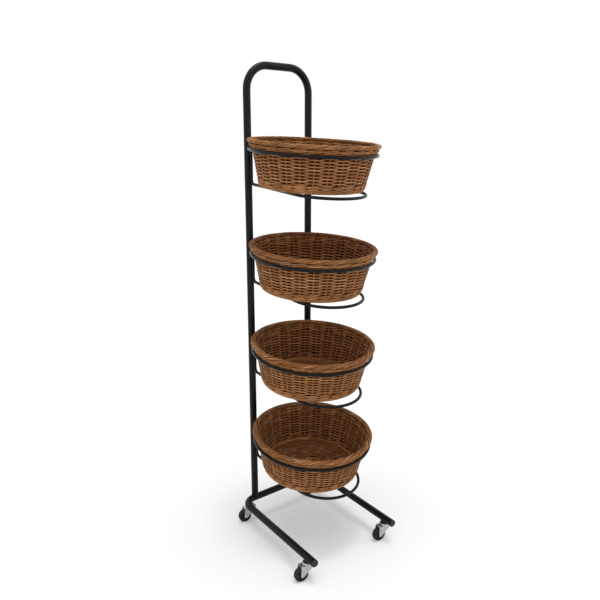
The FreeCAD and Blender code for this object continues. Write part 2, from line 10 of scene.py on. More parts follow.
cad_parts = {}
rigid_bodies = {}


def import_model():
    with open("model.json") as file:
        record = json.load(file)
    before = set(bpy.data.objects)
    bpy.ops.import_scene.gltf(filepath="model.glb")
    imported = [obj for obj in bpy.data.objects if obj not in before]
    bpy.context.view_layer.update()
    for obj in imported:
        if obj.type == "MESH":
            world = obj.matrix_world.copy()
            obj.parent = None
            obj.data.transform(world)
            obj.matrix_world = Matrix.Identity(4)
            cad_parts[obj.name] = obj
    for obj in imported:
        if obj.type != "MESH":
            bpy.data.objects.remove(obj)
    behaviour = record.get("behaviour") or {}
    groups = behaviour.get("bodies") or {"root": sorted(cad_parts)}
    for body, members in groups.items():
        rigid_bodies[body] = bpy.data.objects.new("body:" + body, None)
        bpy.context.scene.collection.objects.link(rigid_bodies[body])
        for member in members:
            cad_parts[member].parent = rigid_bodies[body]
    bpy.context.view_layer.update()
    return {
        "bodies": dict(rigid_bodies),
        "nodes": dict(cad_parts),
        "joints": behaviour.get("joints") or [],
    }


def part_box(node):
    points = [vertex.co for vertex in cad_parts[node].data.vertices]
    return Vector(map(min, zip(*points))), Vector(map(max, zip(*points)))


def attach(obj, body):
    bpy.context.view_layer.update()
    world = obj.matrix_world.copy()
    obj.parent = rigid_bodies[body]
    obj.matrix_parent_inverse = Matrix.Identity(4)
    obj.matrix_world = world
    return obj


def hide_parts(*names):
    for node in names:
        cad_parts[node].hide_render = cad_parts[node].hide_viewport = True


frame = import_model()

bl_info = {
    "name": "Tiered wicker basket display",
    "version": (1, 0, 0),
    "blender": (4, 5, 0),
    "location": "View3D > Sidebar > Display",
    "description": "Weaves the baskets of a rolling display and finishes its rack and casters",
    "category": "Object",
}

RACK = "rack"
TIERS = sorted(int(name.rsplit("_", 1)[1]) for name in frame["bodies"] if name.startswith("basket_tier_"))
LIFT_AXES = {joint["child"]: joint["axis"] for joint in frame["joints"] if joint["type"] == "slide"}
FULL_TURN = 2 * math.pi

# Random seeds, to which the number of the tier is added
WALL_SEED = 100
FLOOR_SEED = 200
BORDER_SEED = 300

# Turns about a basket's axis: in stakes and floor sticks, plus one for each tier, and in radians per tier
WALL_TURN = 5.5
FLOOR_TURN = 0.5
BORDER_TURN = 1.1

# Fineness of the meshes
STEPS_PER_STAKE = 8
ROD_SIDES = 8
BEAD_SIDES = 10
SHADE_SHEET_SIDES = 4

# Painted light and shade of a rod, from 0 in full painted shade to 1 fully lit: its mean, its gain on the
# outward side, which is painted lighter, and its loss on the edges, where painted shade falls between
# touching rods
# Stakes, floor sticks, the follower and the border's core are drawn darker, as painted shade among the rods
STAKE_PAINTED_SHADING = (0.58, 0.0, 0.35)
ROPE_PAINTED_SHADING = (0.45, 0.55, 0.35)
BORDER_PAINTED_SHADING = (0.42, 0.50, 0.95)
CORE_PAINTED_SHADING = (0.05, 0.0, 0.0)
FOLLOWER_PAINTED_SHADING = (0.45, 0.0, 0.0)
STICK_PAINTED_SHADING = (0.62, 0.0, 0.0)
SHADE_SHEET_PAINTED_SHADING = (0.0, 0.0, 0.0)
BEAD_PAINTED_SHADING = (1.0, 0.0, 0.0)

# Tone of a rod, from warm at 0 to pale at 1: one value, or the range that it is drawn from
STAKE_TONES = (0.2, 0.8)
ROPE_TONES = (0.2, 0.9)
ANY_TONE = (0.0, 1.0)
CORE_TONE = 0.2
FOLLOWER_TONE = 0.4
MIDDLE_TONE = 0.5

# Least and most steps of a rod before the next one takes over
RAND_ROD_STEPS = (150, 330)
WALE_ROD_STEPS = (90, 200)
BORDER_ROD_STEPS = (26, 60)
FLOOR_ROD_STEPS = (110, 260)

# Half the thickness of the dark sheet of painted shade in a wall or floor
SHADE_SHEET_HALF = 0.0007

# Middles of the weld beads below the top of a cradle's wire
STITCH_DROPS = (0.030, 0.095)


class BasketShape(PropertyGroup):
    """Sizes of one basket, measured from the plane of its hoop along its own axis."""

    radius_at_hoop: FloatProperty(
        name="Radius at hoop", description="Outer radius of the wall in the plane of the hoop",
        default=0.1985, unit="LENGTH")
    foot_radius: FloatProperty(
        name="Foot radius", description="Outer radius that the wall would have at the floor",
        default=0.173, unit="LENGTH")
    depth: FloatProperty(
        name="Depth", description="From the plane of the hoop down to the underside of the floor",
        default=0.115, unit="LENGTH")
    wall_thickness: FloatProperty(
        name="Wall thickness", description="Thickness of the woven wall",
        default=0.0095, unit="LENGTH")
    border_seat: FloatProperty(
        name="Border seat", description="Height where the border sits on the waling",
        default=0.0205, unit="LENGTH")
    border_top: FloatProperty(
        name="Border top", description="Height of the top of the border",
        default=0.034, unit="LENGTH")
    border_radius: FloatProperty(
        name="Border radius", description="Radius of the middle line of the border",
        default=0.2058, unit="LENGTH")
    border_width: FloatProperty(
        name="Border width", description="Width of the border across its section",
        default=0.0195, unit="LENGTH")
    rim_flare: FloatProperty(
        name="Rim flare", description="How far the top round of waling stands out from the wall",
        default=0.0070, unit="LENGTH")


class WeaveSettings(PropertyGroup):
    """Counts and sizes of the willow rods."""

    stakes: IntProperty(
        name="Stakes", description="Upright stakes round a wall; a multiple of three that is odd",
        subtype="UNSIGNED", default=27)
    rod_height: FloatProperty(
        name="Rod height", description="Half height of a weaving rod",
        default=0.00275, unit="LENGTH")
    rod_depth: FloatProperty(
        name="Rod depth", description="Half depth of a weaving rod",
        default=0.0028, unit="LENGTH")
    row_pitch: FloatProperty(
        name="Row pitch", description="Rise of the weaving rod in one turn",
        default=0.0050, unit="LENGTH")
    sway: FloatProperty(
        name="Sway", description="How far a rod bends to each side of the stakes",
        default=0.0019, unit="LENGTH")
    stake_radius: FloatProperty(
        name="Stake radius", description="Radius of an upright stake",
        default=0.0032, unit="LENGTH")
    floor_sticks: IntProperty(
        name="Floor stick ends", description="Ends of the sticks that fan out under a floor",
        subtype="UNSIGNED", default=18)
    wale_step: FloatProperty(
        name="Wale step", description="Height of one round of waling",
        default=0.0094, unit="LENGTH")
    border_rods: IntProperty(
        name="Border rods", description="Rods that lie round the section of the border",
        subtype="UNSIGNED", default=8)
    border_turns: IntProperty(
        name="Border turns", description="Turns of each border rod round the section in one round",
        subtype="UNSIGNED", default=10)


class WeldSettings(PropertyGroup):
    """Sizes of the weld beads on the rack."""

    wire_radius: FloatProperty(
        name="Wire radius", description="Radius of the wire of hoops and cradles",
        default=0.005, unit="LENGTH")
    bead_radius: FloatProperty(
        name="Bead radius", description="Radius of a weld bead",
        default=0.0021, unit="LENGTH")
    stitch_length: FloatProperty(
        name="Stitch length", description="Length of a bead between wire and upright",
        default=0.018, unit="LENGTH")
    foot_gap: FloatProperty(
        name="Foot gap", description="Height of an upright's lowest edge over the middle of the back bar",
        default=0.003, unit="LENGTH")


class FinishColours(PropertyGroup):
    """Colours of the finishes."""

    # Willow colour, shown in full on the faces that the painted light and shade leaves lit
    willow_light: FloatVectorProperty(
        name="Willow, light", description="Rubbed faces of the rods",
        subtype="COLOR", default=(0.452, 0.212, 0.083))
    # Colour of the painted shade between and behind the rods
    willow_painted_shade: FloatVectorProperty(
        name="Willow, dark", description="Stain held between the rods",
        subtype="COLOR", default=(0.045, 0.0105, 0.0015))
    coat: FloatVectorProperty(
        name="Powder coat", description="Coat of the tubes and wires",
        subtype="COLOR", default=(0.0030, 0.0031, 0.0033))
    zinc: FloatVectorProperty(
        name="Zinc", description="Plating of the caster forks",
        subtype="COLOR", default=(0.46, 0.47, 0.46))
    rubber: FloatVectorProperty(
        name="Rubber", description="Tyres",
        subtype="COLOR", default=(0.0085, 0.0087, 0.009))
    plastic: FloatVectorProperty(
        name="Plastic", description="Plugs and wheel cores",
        subtype="COLOR", default=(0.016, 0.016, 0.017))


class StageSettings(PropertyGroup):
    """Camera, floor and light."""

    camera_place: FloatVectorProperty(
        name="Camera place", description="Position of the lens",
        subtype="TRANSLATION", unit="LENGTH", default=(-1.2070, -1.5113, 1.3836))
    camera_yaw: FloatProperty(
        name="Camera yaw", description="Turn of the camera from +Y towards +X",
        subtype="ANGLE", default=math.radians(36.890))
    camera_pitch: FloatProperty(
        name="Camera pitch", description="How far the camera looks down",
        subtype="ANGLE", default=math.radians(14.175))
    camera_lens: FloatProperty(
        name="Lens", description="Focal length on the sensor, in millimetres",
        unit="CAMERA", default=35.366)
    camera_sensor: FloatProperty(
        name="Sensor", description="Width of the sensor, in millimetres",
        unit="CAMERA", default=36.0)
    floor_half: FloatProperty(
        name="Floor half width", description="From the middle of the floor to its edges",
        unit="LENGTH", default=20.0)
    floor_colour: FloatVectorProperty(
        name="Floor colour", description="Pale studio floor",
        subtype="COLOR", default=(0.80, 0.80, 0.80))
    floor_glow: FloatProperty(
        name="Floor glow", description="White added where the camera or a reflection sees the floor",
        subtype="FACTOR", min=0.0, max=1.0, default=0.195)
    ambient: FloatProperty(
        name="Ambient", description="Strength of the even studio light",
        subtype="FACTOR", min=0.0, max=1.0, default=0.45)
    spot_from: FloatVectorProperty(
        name="Spot from", description="Direction that the narrow light overhead comes from",
        subtype="XYZ", default=(0.04, -0.10, 1.0))
    spot_strength: FloatProperty(
        name="Spot", description="Strength of the narrow light overhead",
        default=0.38)
    spot_spread: FloatProperty(
        name="Spot spread", description="Apparent width of the narrow light overhead",
        subtype="ANGLE", default=math.radians(7))
    softbox_from: FloatVectorProperty(
        name="Softbox from", description="Direction that the wider light overhead comes from",
        subtype="XYZ", default=(-0.02, -0.02, 1.0))
    softbox_strength: FloatProperty(
        name="Softbox", description="Strength of the wider light overhead",
        default=1.02)
    softbox_spread: FloatProperty(
        name="Softbox spread", description="Apparent width of the wider light overhead",
        subtype="ANGLE", default=math.radians(42))
    right_from: FloatVectorProperty(
        name="Right light from", description="Direction that the light on the right comes from",
        subtype="XYZ", default=(0.55, -0.80, 0.55))
    left_from: FloatVectorProperty(
        name="Left light from", description="Direction that the light on the left comes from",
        subtype="XYZ", default=(-0.95, -0.25, 0.55))
    side_strength: FloatProperty(
        name="Side lights", description="Strength of each of the lights on the right and left",
        default=0.65)
    side_spread: FloatProperty(
        name="Side light spread", description="Apparent width of the lights on the right and left",
        subtype="ANGLE", default=math.radians(95))


class RodMesh:
    """Gathers rods as tubes and turns them into one mesh with their painted light and shade, tone and grain.
    """

    def __init__(self):
        self.points = []
        self.faces = []
        self.painted_shading = []
        self.tone = []
        self.grain = []
        self.count = 0

    def add(self, path, outward, half_out, half_up, sides, painted_shading, tone, closed=False):
        """Adds one rod along a path, with half its depth outwards and half its width across that."""
        steps = len(path)
        if closed:
            tangent = np.roll(path, -1, axis=0) - np.roll(path, 1, axis=0)
        else:
            tangent = np.gradient(path, axis=0)
        tangent = unit(tangent)
        outward = unit(outward - tangent * np.sum(outward * tangent, axis=1, keepdims=True))
        upward = np.cross(tangent, outward)
        angle = FULL_TURN * np.arange(sides) / sides
        out_part = np.cos(angle)[None, :] * np.broadcast_to(half_out, steps)[:, None]
        up_part = np.sin(angle)[None, :] * np.broadcast_to(half_up, steps)[:, None]
        rings = path[:, None, :] + outward[:, None, :] * out_part[..., None]
        rings = rings + upward[:, None, :] * up_part[..., None]
        run = np.concatenate([[0.0], np.cumsum(np.linalg.norm(np.diff(path, axis=0), axis=1))])
        # Painted light and shade round each ring: lighter on the outward side, painted shade on the edges
        # where rods touch
        mean, gain, loss = (np.broadcast_to(part, steps)[:, None] for part in painted_shading)
        ring_shading = mean + gain * np.cos(angle) - loss * np.sin(angle) ** 2
        along = np.repeat(run[:, None], sides, axis=1)
        self.points.append(rings.reshape(-1, 3))
        self.painted_shading.append(ring_shading.reshape(-1))
        self.tone.append(np.repeat(np.broadcast_to(tone, steps), sides))
        self.grain.append(np.stack([along, out_part, up_part], axis=-1).reshape(-1, 3))
        self._add_faces(steps, sides, closed)
        self.count += steps * sides

    def _add_faces(self, steps, sides, closed):
        last = steps if closed else steps - 1
        here = np.arange(last)[:, None] * sides
        there = (np.arange(last)[:, None] + 1) % steps * sides
        side = np.arange(sides)[None, :]
        after = (side + 1) % sides
        quads = np.stack([here + side, here + after, there + after, there + side], axis=-1)
        self.faces += (quads.reshape(-1, 4) + self.count).tolist()
        if not closed:
            first_ring = np.arange(sides) + self.count
            self.faces.append(first_ring[::-1].tolist())
            self.faces.append((first_ring + (steps - 1) * sides).tolist())

    def build(self, name, matrix, material):
        """Makes the object of all rods, placed by a matrix."""
        turn = np.array(matrix.to_3x3())
        move = np.array(matrix.translation)
        points = np.concatenate(self.points) @ turn.T + move
        mesh = bpy.data.meshes.new(name)
        mesh.from_pydata(points.tolist(), [], self.faces)
        store_attribute(mesh, "painted_shading", "FLOAT", "value", np.concatenate(self.painted_shading))
        store_attribute(mesh, "tone", "FLOAT", "value", np.concatenate(self.tone))
        store_attribute(mesh, "grain", "FLOAT_VECTOR", "vector", np.concatenate(self.grain))
        mesh.polygons.foreach_set("use_smooth", [True] * len(mesh.polygons))
        mesh.materials.append(material)
        mesh.update()
        piece = bpy.data.objects.new(name, mesh)
        bpy.context.scene.collection.objects.link(piece)
        return piece


def store_attribute(mesh, name, kind, field, values):
    """Writes one value per point of a mesh."""
    attribute = mesh.attributes.new(name, kind, "POINT")
    attribute.data.foreach_set(field, values.astype(np.float32).ravel())


def unit(vectors):
    """Vectors scaled to length one."""
    return vectors / np.linalg.norm(vectors, axis=-1, keepdims=True)


def eased(share):
    """Share from 0 to 1 with a soft start and end."""
    return share * share * (3 - 2 * share)


def between_knots(knots, place):
    """Values that ease from knot to knot; the last knot leads back to the first."""
    left = place.astype(int)
    ease = eased(place - left)
    return knots[left] * (1 - ease) + knots[(left + 1) % len(knots)] * ease


def drift(count, spacing, random):
    """Smooth random wander between -1 and 1 with a new value every so many steps."""
    spare_knots = 3
    knots = random.uniform(-1, 1, count // spacing + spare_knots)
    return between_knots(knots, np.arange(count) / spacing)


def drift_ring(count, spacing, random):
    """Smooth random wander that closes on itself."""
    knots = random.uniform(-1, 1, count // spacing)
    return between_knots(knots, np.arange(count) / count * len(knots))


def rod_tones(count, lengths, random):
    """One tone per rod, more often warm than pale; a fresh rod starts after a random number of steps."""
    pale_rarity = 1.6
    least, most = lengths
    tones = np.empty(count)
    start = 0
    while start < count:
        end = start + int(random.integers(least, most))
        tones[start:end] = random.uniform(0, 1) ** pale_rarity
        start = end
    return tones


def bent_rod(swing):
    """Bend of a rod that swings between the stakes, fuller than a plain wave."""
    fullness = 0.75
    return np.sign(swing) * np.abs(swing) ** fullness


def bent_painted_shading(bend):
    """Painted light and shade of a rod that passes before a stake at bend 1 and behind it at bend -1: its
    outward face is painted lighter where it passes before, and painted shade falls on it where it dives
    behind.
    """
    loss_at_stake = 0.42
    gain_outward = 0.46
    loss_on_edges = 1.0
    return 1 - loss_at_stake * np.abs(bend), gain_outward * bend, loss_on_edges


def around(theta):
    """Unit directions from the basket's axis."""
    return np.stack([np.cos(theta), np.sin(theta), np.zeros_like(theta)], axis=-1)


def lifted(height):
    """Vectors of a given height along the basket's axis."""
    flat = np.zeros_like(height)
    return np.stack([flat, flat, height], axis=-1)


def full_round(count):
    """Angles of so many even steps round the basket's axis."""
    return FULL_TURN * np.arange(count) / count


class WallSurface:
    """Middle surface of the flared wall, by angle, slant from the floor upwards and depth outwards."""

    def __init__(self, shape):
        self.lean = math.atan((shape.radius_at_hoop - shape.foot_radius) / shape.depth)
        self.foot = shape.foot_radius - shape.wall_thickness / 2 / math.cos(self.lean)
        self.floor = -shape.depth

    def slant_at(self, height):
        """Way up the wall to a height."""
        return (height - self.floor) / math.cos(self.lean)

    def point(self, theta, slant, depth):
        """Points of the wall."""
        radius = self.foot + slant * math.sin(self.lean) + depth * math.cos(self.lean)
        height = self.floor + slant * math.cos(self.lean) - depth * math.sin(self.lean)
        return around(theta) * radius[..., None] + lifted(height)

    def outward(self, theta):
        """Directions square to the wall."""
        drop = np.full_like(theta, -math.sin(self.lean))
        return around(theta) * math.cos(self.lean) + lifted(drop)


def weave_wall(rods, shape, weave, random):
    """Whole wall: rope at the foot, two rounds of waling below and above, plain weave, stakes and a dark
    sheet of painted shade.
    """
    first_wale_lift = 0.0135
    top_wale_drop = 0.0042
    wale_rounds = 2
    wales_to_rand = 1.80
    flare_loss = 0.75
    stake_foot = 0.004
    stake_head_lift = 0.006
    surface = WallSurface(shape)
    first_wale = surface.slant_at(surface.floor + first_wale_lift)
    top_wale = surface.slant_at(shape.border_seat - top_wale_drop)
    rand_low = first_wale + wales_to_rand * weave.wale_step
    rand_high = top_wale - wales_to_rand * weave.wale_step
    twist_rope(rods, surface, random)
    for row in range(wale_rounds):
        weave_wale(rods, surface, weave, first_wale + row * weave.wale_step, 0.0, random)
        flare = shape.rim_flare * (1 - flare_loss * row)
        weave_wale(rods, surface, weave, top_wale - row * weave.wale_step, flare, random)
    weave_rand(rods, surface, weave, (rand_low, rand_high), random)
    stake_ends = (stake_foot, surface.slant_at(shape.border_seat + stake_head_lift))
    stand_stakes(rods, surface, weave, stake_ends, random)
    shade_wall_sheet(rods, surface, weave, stake_ends)


def twist_rope(rods, surface, random):
    """Rope of three strands round the foot of the wall."""
    strands = 3
    turns = 62
    steps_per_turn = 12
    sides = 6
    inset = 0.0010
    lift = 0.0056
    lay_radius = 0.0028
    strand_radius = 0.0027
    count = turns * steps_per_turn
    theta = full_round(count)
    middle = around(theta) * (surface.foot - inset) + lifted(np.full(count, surface.floor + lift))
    for strand in range(strands):
        turn = FULL_TURN * strand / strands + theta * turns
        outward = around(theta) * np.cos(turn)[:, None] + lifted(np.sin(turn))
        rods.add(middle + outward * lay_radius, outward, strand_radius, strand_radius, sides,
                 ROPE_PAINTED_SHADING, random.uniform(*ROPE_TONES), closed=True)


def weave_wale(rods, surface, weave, slant, flare, random):
    """One round of waling: three rods, each before two stakes and behind one, laid over one another."""
    wale_rods = 3
    first_phase = math.pi / 3
    front_share = 0.25
    rise_share = 1.1
    sway_share = 1.2
    depth_share = 0.95
    height_share = 1.08
    count = weave.stakes * STEPS_PER_STAKE
    theta = full_round(count)
    half_out = weave.rod_depth * depth_share + flare / 2
    half_up = weave.rod_height * height_share
    for rod in range(wale_rods):
        phase = (theta * weave.stakes - FULL_TURN * rod) / wale_rods + first_phase
        bend = np.clip((np.cos(phase) + front_share) / (1 - front_share), -1, 1)
        bend = np.sin(math.pi / 2 * bend)
        rise = weave.rod_height * rise_share * np.sin(phase)
        depth = flare / 2 + weave.sway * sway_share * bend
        tones = rod_tones(count, WALE_ROD_STEPS, random)
        rods.add(surface.point(theta, slant + rise, depth), surface.outward(theta), half_out, half_up,
                 ROD_SIDES, bent_painted_shading(bend), tones, closed=True)


def weave_rand(rods, surface, weave, slants, random):
    """Plain weave: one long rod, before one stake and behind the next, that steps up a row each turn."""
    step_up_stakes = 3
    row_wander = 0.00022
    sway_wander = 0.08
    girth_wander = 0.05
    girth_spacing = 90
    flattening = 0.24
    low, high = slants
    rows = max(2, round((high - low) / weave.row_pitch) + 1)
    pitch = (high - low) / (rows - 1)
    stake_angle = FULL_TURN / weave.stakes
    step_up = step_up_stakes * stake_angle
    theta = np.arange(-step_up, FULL_TURN * rows, stake_angle / STEPS_PER_STAKE)
    count = len(theta)
    row, place = np.divmod(theta, FULL_TURN)
    climb = eased(np.clip((place - FULL_TURN + step_up) / step_up, 0, 1))
    bend = bent_rod(np.cos(theta * weave.stakes / 2))
    slant = np.clip(low + pitch * (row + climb), low, high)
    slant = slant + row_wander * drift(count, STEPS_PER_STAKE, random)
    depth = weave.sway * bend * (1 + sway_wander * drift(count, STEPS_PER_STAKE, random))
    girth = 1 + girth_wander * drift(count, girth_spacing, random)
    half_out = weave.rod_depth * girth
    half_up = weave.rod_height * girth * (1 + flattening * bend * bend)
    tones = rod_tones(count, RAND_ROD_STEPS, random)
    rods.add(surface.point(theta, slant, depth), surface.outward(theta), half_out, half_up,
             ROD_SIDES, bent_painted_shading(bend), tones)


def stand_stakes(rods, surface, weave, slants, random):
    """Upright stakes that the wall is woven on; their tops bend outwards under the border."""
    steps = 40
    bend_length = 0.018
    bend_depth = 0.009
    most_lean = 0.004
    low, high = slants
    slant = np.linspace(low, high, steps)
    bend = np.clip((slant - high + bend_length) / bend_length, 0, 1) ** 2
    for stake in range(weave.stakes):
        lean = random.uniform(-most_lean, most_lean)
        theta = FULL_TURN * stake / weave.stakes + lean * np.linspace(0, 1, steps)
        path = surface.point(theta, slant, bend_depth * bend)
        # Stakes are drawn darker, as painted shade where they stand recessed among the weaving rods
        rods.add(path, surface.outward(theta), weave.stake_radius, weave.stake_radius, ROD_SIDES,
                 STAKE_PAINTED_SHADING, random.uniform(*STAKE_TONES))


def shade_wall_sheet(rods, surface, weave, slants):
    """Dark sheet of painted shade along the middle of the wall, among the rods."""
    low, high = slants
    theta = np.arange(0, FULL_TURN, FULL_TURN / weave.stakes / 2)
    path = surface.point(theta, np.full_like(theta, (low + high) / 2), np.zeros_like(theta))
    rods.add(path, surface.outward(theta), SHADE_SHEET_HALF, (high - low) / 2, SHADE_SHEET_SIDES,
             SHADE_SHEET_PAINTED_SHADING, MIDDLE_TONE, closed=True)


def weave_floor(rods, shape, weave, random):
    """Whole floor: a fan of sticks, two rods woven round it, a dark sheet of painted shade and the rows that
    tie the cross.
    """
    stick_inset = 0.001
    rod_inset = 0.002
    foot = WallSurface(shape).foot
    level = -shape.depth + shape.wall_thickness / 2
    fan_sticks(rods, weave, level, foot - stick_inset, random)
    pair_rods(rods, weave, level, foot - rod_inset, random)
    shade_floor_sheet(rods, level, foot - rod_inset)
    tie_cross(rods, level, random)


def fan_sticks(rods, weave, level, reach, random):
    """Sticks of the floor: two crossed bundles, one over the other, whose ends spread into a fan."""
    spacing = 0.0042
    bundle_lift = 0.0014
    settled_from = 0.03
    settled_over = 0.03
    half_height = 0.0022
    half_width = 0.0026
    ends = weave.floor_sticks
    wide_bundle = (ends // 2 + 1) // 2
    narrow_bundle = ends // 2 - wide_bundle
    for end in range(ends):
        angle = FULL_TURN * (end - (wide_bundle - 1) / 2) / ends
        half = end % (ends // 2)
        in_wide = half < wide_bundle
        size = wide_bundle if in_wide else narrow_bundle
        place = half if in_wide else half - wide_bundle
        flat = stick_line(angle, (place - (size - 1) / 2) * spacing, reach)
        bundle_level = level + (bundle_lift if in_wide else -bundle_lift)
        settled = np.clip((np.linalg.norm(flat, axis=1) - settled_from) / settled_over, 0, 1)
        path = np.column_stack([flat, bundle_level + (level - bundle_level) * settled])
        rods.add(path, lifted(np.ones(len(path))), half_height, half_width, ROD_SIDES,
                 STICK_PAINTED_SHADING, random.uniform(*ANY_TONE))


def stick_line(angle, offset, reach):
    """Line of a stick, seen from above: along its bundle, round a bend and out along its ray."""
    bend_start = 0.024
    bend_middle = 0.036
    bend_end = 0.060
    spread = 1.6
    bend_steps = 9
    ray_steps = 12
    heading = round(angle / (math.pi / 2)) * math.pi / 2
    ahead = np.array([math.cos(heading), math.sin(heading)])
    aside = np.array([-math.sin(heading), math.cos(heading)])
    ray = np.array([math.cos(angle), math.sin(angle)])
    start = aside * offset
    bend_from = ahead * bend_start + aside * offset
    bend_over = ahead * bend_middle + aside * offset * spread
    bend_to = ray * bend_end
    share = np.linspace(0, 1, bend_steps)[:, None]
    curve = bend_from * (1 - share) ** 2 + 2 * bend_over * share * (1 - share) + bend_to * share ** 2
    straight = ray * np.linspace(bend_end, reach, ray_steps)[1:, None]
    return np.concatenate([start[None, :], curve, straight])


def pair_rods(rods, weave, level, reach, random):
    """Two rods chase each other outwards over and under the fan of sticks."""
    inner = 0.0405
    row_wander = 0.0002
    depth_share = 0.95
    flattening = 0.28
    turns = round((reach - inner) / (2 * weave.row_pitch))
    pitch = (reach - inner) / turns
    count = (turns + 1) * weave.floor_sticks * STEPS_PER_STAKE
    first_stick = -FULL_TURN * ((weave.floor_sticks // 2 + 1) // 2 - 1) / 2 / weave.floor_sticks
    for rod in range(2):
        theta = np.linspace(0, FULL_TURN * (turns + 1), count) + math.pi * rod
        bend = bent_rod(np.cos((theta - first_stick) * weave.floor_sticks / 2 + math.pi * rod))
        radius = inner + pitch * (theta - math.pi * rod) / FULL_TURN + pitch / 2 * rod
        radius = np.minimum(radius, reach) + row_wander * drift(count, STEPS_PER_STAKE, random)
        path = around(theta) * radius[:, None] + lifted(level + weave.sway * bend)
        tones = rod_tones(count, FLOOR_ROD_STEPS, random)
        half_up = weave.rod_height * (1 + flattening * bend * bend)
        rods.add(path, lifted(np.ones(count)), weave.rod_depth * depth_share, half_up, ROD_SIDES,
                 bent_painted_shading(bend), tones)


def shade_floor_sheet(rods, level, reach):
    """Dark sheet of painted shade in the floor, with a small hole in the middle that the cross of sticks
    covers.
    """
    steps = 96
    hole_radius = 0.001
    theta = full_round(steps)
    path = around(theta) * reach / 2 + lifted(np.full(steps, level))
    rods.add(path, lifted(np.ones(steps)), SHADE_SHEET_HALF, reach / 2 - hole_radius, SHADE_SHEET_SIDES,
             SHADE_SHEET_PAINTED_SHADING, MIDDLE_TONE, closed=True)


def tie_cross(rods, level, random):
    """Rows of rod that tie the two bundles of sticks where they cross."""
    steps = 96
    rows = 4
    first_radius = 0.0235
    row_step = 0.0045
    sway = 0.0029
    half_height = 0.0018
    half_width = 0.0026
    theta = full_round(steps)
    for row in range(rows):
        bend = np.cos(2 * theta + math.pi * row)
        path = around(theta) * (first_radius + row_step * row) + lifted(level + sway * bend)
        rods.add(path, lifted(np.ones(steps)), half_height, half_width, ROD_SIDES,
                 bent_painted_shading(bend), random.uniform(*ANY_TONE), closed=True)


def lay_border(rods, shape, weave, random):
    """Rolled border: rods laid slantwise round a core, rising to the right on the outer face."""
    steps_per_turn = 36
    rod_radius = 0.0027
    wander_angle = 0.10
    wander_spacing = 12
    uneven_lay = 0.12
    swell_share = 0.06
    swell_spacing = 8
    tone_and_painted_light_gain = 2.2
    tone_and_painted_light_shift = 0.35
    core_sides = 10
    follower_inset = 0.0055
    follower_lift = 0.0012
    count = weave.border_turns * steps_per_turn
    theta = full_round(count)
    half_wide = shape.border_width / 2 - rod_radius
    half_high = (shape.border_top - shape.border_seat) / 2 - rod_radius
    middle = (shape.border_top + shape.border_seat) / 2
    core = around(theta) * shape.border_radius + lifted(np.full(count, middle))
    for rod in range(weave.border_rods):
        wander = wander_angle * drift_ring(count, wander_spacing, random)
        turn = FULL_TURN * rod / weave.border_rods + theta * weave.border_turns + wander
        turn = turn - uneven_lay * np.sin(turn)
        across = around(theta) * np.cos(turn)[:, None]
        outward = across * half_high + lifted(np.sin(turn) * half_wide)
        swell = 1 + swell_share * drift_ring(count, swell_spacing, random)
        path = core + across * half_wide * swell[:, None] + lifted(np.sin(turn) * half_high * swell)
        # Border rods are drawn paler than the wall's: partly their own pale willow, partly painted light for
        # the brightly lit rim
        tones = tone_and_painted_light_gain * rod_tones(count, BORDER_ROD_STEPS, random) - tone_and_painted_light_shift
        rods.add(path, outward, rod_radius, rod_radius, ROD_SIDES, BORDER_PAINTED_SHADING, tones, closed=True)
    # The core, seen only between the border rods, is drawn almost fully in painted shade
    rods.add(core, around(theta), half_wide, half_high, core_sides, CORE_PAINTED_SHADING, CORE_TONE, closed=True)
    follower = around(theta) * (shape.border_radius - follower_inset)
    follower = follower + lifted(np.full(count, shape.border_seat + follower_lift))
    rods.add(follower, around(theta), rod_radius, rod_radius, ROD_SIDES,
             FOLLOWER_PAINTED_SHADING, FOLLOWER_TONE, closed=True)


def weld_upright(rods, side, weld):
    """Beads of one upright: round its foot, and beside each cradle's wire."""
    low, high = (np.array(corner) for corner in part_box("back_frame"))
    tube_radius = (high[1] - low[1]) / 2
    bar_height = np.mean([corner[2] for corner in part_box("base_tube")])
    upright = np.array([side * (high[0] - tube_radius), high[1] - tube_radius])
    ring_foot(rods, np.array([*upright, bar_height]), tube_radius, weld)
    for tier in TIERS:
        _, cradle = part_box(f"basket_cradle_tier_{tier}")
        wire_x = side * (cradle[0] - weld.wire_radius)
        for drop in STITCH_DROPS:
            for groove in weld_grooves(upright, tube_radius, wire_x, weld):
                lay_stitch(rods, np.array([*groove, cradle[2] - drop]), weld)


def weld_grooves(upright, tube_radius, wire_x, weld):
    """Places, seen from above, of the two grooves between an upright and the wire in front of it."""
    seat = weld.bead_radius / 4
    aside = wire_x - upright[0]
    span = tube_radius + weld.wire_radius
    ahead = np.array([aside, -math.sqrt(span ** 2 - aside ** 2)]) / span
    along = (span ** 2 + (tube_radius + seat) ** 2 - (weld.wire_radius + seat) ** 2) / (2 * span)
    across = math.sqrt((tube_radius + seat) ** 2 - along ** 2)
    sideways = np.array([-ahead[1], ahead[0]])
    return [upright + ahead * along + sideways * across * turn for turn in (-1, 1)]


def lay_stitch(rods, place, weld):
    """Short upright bead with ripples, drawn in at both ends."""
    steps = 31
    drawn_in = 0.9
    ripples = 6
    ripple_share = 0.08
    share = np.linspace(0, 1, steps)
    path = place + lifted((share - 0.5) * weld.stitch_length)
    ends = np.sqrt(1 - drawn_in * (2 * share - 1) ** 4)
    radius = weld.bead_radius * ends * (1 + ripple_share * np.cos(FULL_TURN * ripples * share))
    forwards = np.tile([0.0, -1.0, 0.0], (steps, 1))
    rods.add(path, forwards, radius, radius, BEAD_SIDES, BEAD_PAINTED_SHADING, MIDDLE_TONE)


